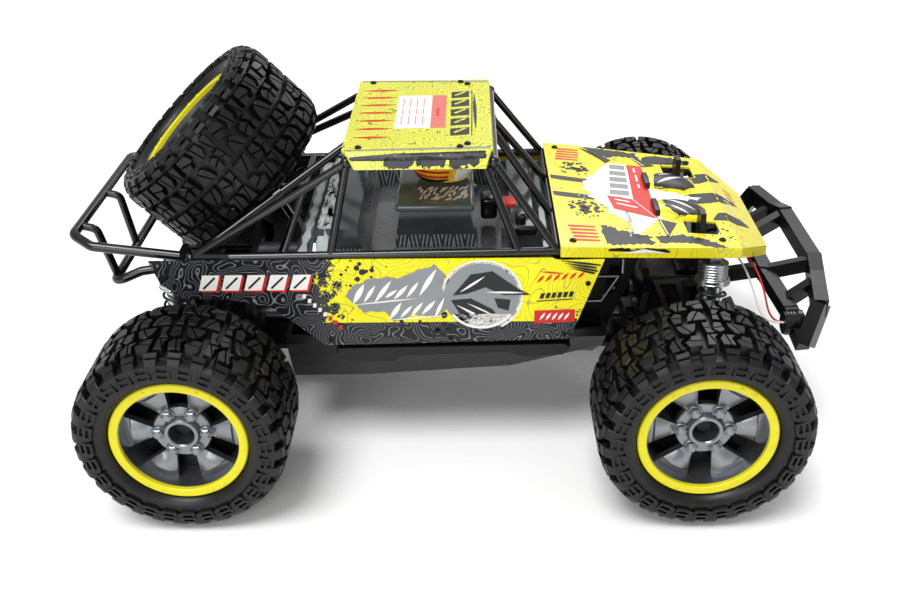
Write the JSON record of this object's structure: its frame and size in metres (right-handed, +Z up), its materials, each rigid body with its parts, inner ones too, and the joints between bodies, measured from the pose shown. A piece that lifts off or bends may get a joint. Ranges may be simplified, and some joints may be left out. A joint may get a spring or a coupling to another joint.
{
  "type": "off-road rc buggy",
  "caption": "Electric radio-controlled off-road buggy with tube cage, printed body skins, sprung arms, rack steering, treaded wheels and a spare on the tail.",
  "frame": {"origin": "middle of the bounding box, on the ground under the tyres", "axes": "+X forward, +Y to the vehicle's left, +Z up"},
  "size_m": [0.4301, 0.3024, 0.2229],
  "materials": {
    "satin_black": "moulded glass-filled nylon, satin",
    "gloss_black": "smooth moulded tube, semi-gloss",
    "bare_metal": "turned and tumbled",
    "yellow_skin": "printed polycarbonate skin, clear gloss",
    "dark_liner": "vacuum-formed liner, gloss",
    "helmet_yellow": "painted, gloss",
    "tyre_rubber": "moulded rubber with tread blocks",
    "gunmetal_plastic": "metallic moulded plastic, satin",
    "ring_yellow": "moulded bead ring",
    "spring_black": "black coated spring wire",
    "lead_red": "soft insulation",
    "lamp_clear": "clear moulded lens",
    "screw_black": "black oxide screw"
  },
  "bodies": {
    "chassis": {"chassis_tub": "satin_black", "gearbox_front": "satin_black", "gearbox_rear": "satin_black", "shock_towers": "satin_black", "motor": "bare_metal", "electronics": "satin_black", "steering_servo": "satin_black", "roll_cage": "gloss_black", "rear_rack": "gloss_black", "front_bumper": "satin_black", "roof_panel": "yellow_skin", "hood_panel": "yellow_skin", "side_panels": "yellow_skin", "cockpit_tray": "dark_liner", "driver_figure": "helmet_yellow", "spare_wheel": "tyre_rubber", "lamp_lead": "lead_red"},
    "lower_arm_fl": {"lower_arm_fl": "satin_black"},
    "upper_arm_fl": {"upper_arm_fl": "satin_black"},
    "hub_carrier_fl": {"hub_carrier_fl": "satin_black"},
    "halfshaft_fl": {"halfshaft_fl": "bare_metal"},
    "shock_body_fl": {"shock_body_fl": "bare_metal", "spring_fl": "spring_black"},
    "shock_rod_fl": {"shock_rod_fl": "bare_metal"},
    "wheel_fl": {"tyre_fl": "tyre_rubber", "rim_fl": "gunmetal_plastic"},
    "knuckle_fl": {"knuckle_fl": "satin_black"},
    "lower_arm_fr": {"lower_arm_fr": "satin_black"},
    "upper_arm_fr": {"upper_arm_fr": "satin_black"},
    "hub_carrier_fr": {"hub_carrier_fr": "satin_black"},
    "halfshaft_fr": {"halfshaft_fr": "bare_metal"},
    "shock_body_fr": {"shock_body_fr": "bare_metal", "spring_fr": "spring_black"},
    "shock_rod_fr": {"shock_rod_fr": "bare_metal"},
    "wheel_fr": {"tyre_fr": "tyre_rubber", "rim_fr": "gunmetal_plastic"},
    "knuckle_fr": {"knuckle_fr": "satin_black"},
    "lower_arm_rl": {"lower_arm_rl": "satin_black"},
    "upper_arm_rl": {"upper_arm_rl": "satin_black"},
    "hub_carrier_rl": {"hub_carrier_rl": "satin_black"},
    "halfshaft_rl": {"halfshaft_rl": "bare_metal"},
    "shock_body_rl": {"shock_body_rl": "bare_metal", "spring_rl": "spring_black"},
    "shock_rod_rl": {"shock_rod_rl": "bare_metal"},
    "wheel_rl": {"tyre_rl": "tyre_rubber", "rim_rl": "gunmetal_plastic"},
    "lower_arm_rr": {"lower_arm_rr": "satin_black"},
    "upper_arm_rr": {"upper_arm_rr": "satin_black"},
    "hub_carrier_rr": {"hub_carrier_rr": "satin_black"},
    "halfshaft_rr": {"halfshaft_rr": "bare_metal"},
    "shock_body_rr": {"shock_body_rr": "bare_metal", "spring_rr": "spring_black"},
    "shock_rod_rr": {"shock_rod_rr": "bare_metal"},
    "wheel_rr": {"tyre_rr": "tyre_rubber", "rim_rr": "gunmetal_plastic"},
    "centre_driveshaft": {"centre_driveshaft": "bare_metal"},
    "steering_rack": {"steering_rack": "satin_black"},
    "servo_horn": {"servo_horn": "satin_black"},
    "tie_rod_left": {"tie_rod_left": "bare_metal"},
    "tie_rod_right": {"tie_rod_right": "bare_metal"}
  },
  "joints": [
    {"name": "arm_fl", "type": "hinge", "parent": "chassis", "child": "lower_arm_fl", "pos_m": [0.1318, 0.024, 0.0415], "axis": [1, 0, 0], "range_deg": [0, 12], "stiffness_Nm_per_rad": 3, "springref_deg": -14.32},
    {"name": "link_fl", "type": "hinge", "parent": "chassis", "child": "upper_arm_fl", "pos_m": [0.1318, 0.024, 0.0845], "axis": [1, 0, 0], "range_deg": [0, 12.2]},
    {"name": "carrier_fl", "type": "hinge", "parent": "lower_arm_fl", "child": "hub_carrier_fl", "pos_m": [0.1318, 0.082, 0.0355], "axis": [1, 0, 0], "range_deg": [-12.2, 0]},
    {"name": "halfshaft_tilt_fl", "type": "hinge", "parent": "chassis", "child": "halfshaft_fl", "pos_m": [0.1318, 0.032, 0.063], "axis": [1, 0, 0], "range_deg": [0, 12.2]},
    {"name": "shock_tilt_fl", "type": "hinge", "parent": "chassis", "child": "shock_body_fl", "pos_m": [0.146, 0.058, 0.119], "axis": [1, 0, 0], "range_deg": [0, 0.59]},
    {"name": "shock_slide_fl", "type": "slide", "parent": "shock_body_fl", "child": "shock_rod_fl", "axis": [0, -0.1236, 0.9923], "range_m": [0, 0.00938], "deforming": ["spring_fl"]},
    {"name": "steer_fl", "type": "hinge", "parent": "hub_carrier_fl", "child": "knuckle_fl", "pos_m": [0.1318, 0.09, 0.057], "axis": [0, 0, 1], "range_deg": [-16, 16]},
    {"name": "wheel_spin_fl", "type": "hinge", "parent": "knuckle_fl", "child": "wheel_fl", "pos_m": [0.1318, 0.12, 0.057], "axis": [0, 1, 0], "continuous": true},
    {"name": "arm_fr", "type": "hinge", "parent": "chassis", "child": "lower_arm_fr", "pos_m": [0.1318, -0.024, 0.0415], "axis": [-1, 0, 0], "range_deg": [0, 12], "stiffness_Nm_per_rad": 3, "springref_deg": -14.32},
    {"name": "link_fr", "type": "hinge", "parent": "chassis", "child": "upper_arm_fr", "pos_m": [0.1318, -0.024, 0.0845], "axis": [-1, 0, 0], "range_deg": [0, 12.2]},
    {"name": "carrier_fr", "type": "hinge", "parent": "lower_arm_fr", "child": "hub_carrier_fr", "pos_m": [0.1318, -0.082, 0.0355], "axis": [-1, 0, 0], "range_deg": [-12.2, 0]},
    {"name": "halfshaft_tilt_fr", "type": "hinge", "parent": "chassis", "child": "halfshaft_fr", "pos_m": [0.1318, -0.032, 0.063], "axis": [-1, 0, 0], "range_deg": [0, 12.2]},
    {"name": "shock_tilt_fr", "type": "hinge", "parent": "chassis", "child": "shock_body_fr", "pos_m": [0.146, -0.058, 0.119], "axis": [-1, 0, 0], "range_deg": [0, 0.59]},
    {"name": "shock_slide_fr", "type": "slide", "parent": "shock_body_fr", "child": "shock_rod_fr", "axis": [0, 0.1236, 0.9923], "range_m": [0, 0.00938], "deforming": ["spring_fr"]},
    {"name": "steer_fr", "type": "hinge", "parent": "hub_carrier_fr", "child": "knuckle_fr", "pos_m": [0.1318, -0.09, 0.057], "axis": [0, 0, 1], "range_deg": [-16.2, 16.2]},
    {"name": "wheel_spin_fr", "type": "hinge", "parent": "knuckle_fr", "child": "wheel_fr", "pos_m": [0.1318, -0.12, 0.057], "axis": [0, 1, 0], "continuous": true},
    {"name": "arm_rl", "type": "hinge", "parent": "chassis", "child": "lower_arm_rl", "pos_m": [-0.1438, 0.024, 0.0415], "axis": [1, 0, 0], "range_deg": [0, 12], "stiffness_Nm_per_rad": 3, "springref_deg": -14.32},
    {"name": "link_rl", "type": "hinge", "parent": "chassis", "child": "upper_arm_rl", "pos_m": [-0.1438, 0.024, 0.0845], "axis": [1, 0, 0], "range_deg": [0, 12.2]},
    {"name": "carrier_rl", "type": "hinge", "parent": "lower_arm_rl", "child": "hub_carrier_rl", "pos_m": [-0.1438, 0.082, 0.0355], "axis": [1, 0, 0], "range_deg": [-12.2, 0]},
    {"name": "halfshaft_tilt_rl", "type": "hinge", "parent": "chassis", "child": "halfshaft_rl", "pos_m": [-0.1438, 0.032, 0.063], "axis": [1, 0, 0], "range_deg": [0, 12.2]},
    {"name": "shock_tilt_rl", "type": "hinge", "parent": "chassis", "child": "shock_body_rl", "pos_m": [-0.158, 0.058, 0.119], "axis": [1, 0, 0], "range_deg": [0, 0.59]},
    {"name": "shock_slide_rl", "type": "slide", "parent": "shock_body_rl", "child": "shock_rod_rl", "axis": [0, -0.1236, 0.9923], "range_m": [0, 0.00938], "deforming": ["spring_rl"]},
    {"name": "wheel_spin_rl", "type": "hinge", "parent": "hub_carrier_rl", "child": "wheel_rl", "pos_m": [-0.1438, 0.12, 0.057], "axis": [0, 1, 0], "continuous": true},
    {"name": "arm_rr", "type": "hinge", "parent": "chassis", "child": "lower_arm_rr", "pos_m": [-0.1438, -0.024, 0.0415], "axis": [-1, 0, 0], "range_deg": [0, 12], "stiffness_Nm_per_rad": 3, "springref_deg": -14.32},
    {"name": "link_rr", "type": "hinge", "parent": "chassis", "child": "upper_arm_rr", "pos_m": [-0.1438, -0.024, 0.0845], "axis": [-1, 0, 0], "range_deg": [0, 12.2]},
    {"name": "carrier_rr", "type": "hinge", "parent": "lower_arm_rr", "child": "hub_carrier_rr", "pos_m": [-0.1438, -0.082, 0.0355], "axis": [-1, 0, 0], "range_deg": [-12.2, 0]},
    {"name": "halfshaft_tilt_rr", "type": "hinge", "parent": "chassis", "child": "halfshaft_rr", "pos_m": [-0.1438, -0.032, 0.063], "axis": [-1, 0, 0], "range_deg": [0, 12.2]},
    {"name": "shock_tilt_rr", "type": "hinge", "parent": "chassis", "child": "shock_body_rr", "pos_m": [-0.158, -0.058, 0.119], "axis": [-1, 0, 0], "range_deg": [0, 0.59]},
    {"name": "shock_slide_rr", "type": "slide", "parent": "shock_body_rr", "child": "shock_rod_rr", "axis": [0, 0.1236, 0.9923], "range_m": [0, 0.00938], "deforming": ["spring_rr"]},
    {"name": "wheel_spin_rr", "type": "hinge", "parent": "hub_carrier_rr", "child": "wheel_rr", "pos_m": [-0.1438, -0.12, 0.057], "axis": [0, 1, 0], "continuous": true},
    {"name": "centre_spin", "type": "hinge", "parent": "chassis", "child": "centre_driveshaft", "pos_m": [0, 0, 0.052], "axis": [1, 0, 0], "continuous": true},
    {"name": "rack_slide", "type": "slide", "parent": "chassis", "child": "steering_rack", "axis": [0, 1, 0], "range_m": [-0.00563, 0.00563]},
    {"name": "horn_turn", "type": "hinge", "parent": "chassis", "child": "servo_horn", "pos_m": [0.0867, 0, 0.071], "axis": [0, 0, 1], "range_deg": [-16.2, 16.2]},
    {"name": "tie_tilt_left", "type": "hinge", "parent": "steering_rack", "child": "tie_rod_left", "pos_m": [0.1065, 0.032, 0.064], "axis": [1, 0, 0], "range_deg": [0, 12.2]},
    {"name": "tie_tilt_right", "type": "hinge", "parent": "steering_rack", "child": "tie_rod_right", "pos_m": [0.1065, -0.032, 0.064], "axis": [-1, 0, 0], "range_deg": [0, 12.2]}
  ],
  "couplings": [
    {"joint": "link_fl", "follows": "arm_fl", "ratio": 1},
    {"joint": "carrier_fl", "follows": "arm_fl", "ratio": -1},
    {"joint": "halfshaft_tilt_fl", "follows": "arm_fl", "ratio": 1},
    {"joint": "shock_tilt_fl", "follows": "arm_fl", "ratio": 0.045},
    {"joint": "shock_slide_fl", "follows": "arm_fl", "m_per_rad": 0.043818},
    {"joint": "wheel_spin_fl", "follows": "wheel_spin_rl", "ratio": 1},
    {"joint": "link_fr", "follows": "arm_fr", "ratio": 1},
    {"joint": "carrier_fr", "follows": "arm_fr", "ratio": -1},
    {"joint": "halfshaft_tilt_fr", "follows": "arm_fr", "ratio": 1},
    {"joint": "shock_tilt_fr", "follows": "arm_fr", "ratio": 0.045},
    {"joint": "shock_slide_fr", "follows": "arm_fr", "m_per_rad": 0.043818},
    {"joint": "steer_fr", "follows": "steer_fl", "ratio": 1},
    {"joint": "wheel_spin_fr", "follows": "wheel_spin_rl", "ratio": 1},
    {"joint": "link_rl", "follows": "arm_rl", "ratio": 1},
    {"joint": "carrier_rl", "follows": "arm_rl", "ratio": -1},
    {"joint": "halfshaft_tilt_rl", "follows": "arm_rl", "ratio": 1},
    {"joint": "shock_tilt_rl", "follows": "arm_rl", "ratio": 0.045},
    {"joint": "shock_slide_rl", "follows": "arm_rl", "m_per_rad": 0.043818},
    {"joint": "link_rr", "follows": "arm_rr", "ratio": 1},
    {"joint": "carrier_rr", "follows": "arm_rr", "ratio": -1},
    {"joint": "halfshaft_tilt_rr", "follows": "arm_rr", "ratio": 1},
    {"joint": "shock_tilt_rr", "follows": "arm_rr", "ratio": 0.045},
    {"joint": "shock_slide_rr", "follows": "arm_rr", "m_per_rad": 0.043818},
    {"joint": "wheel_spin_rr", "follows": "wheel_spin_rl", "ratio": 1},
    {"joint": "centre_spin", "follows": "wheel_spin_rl", "ratio": 3},
    {"joint": "rack_slide", "follows": "steer_fl", "m_per_rad": -0.0198},
    {"joint": "horn_turn", "follows": "steer_fl", "ratio": -1},
    {"joint": "tie_tilt_left", "follows": "arm_fl", "ratio": 1},
    {"joint": "tie_tilt_right", "follows": "arm_fr", "ratio": 1}
  ]
}
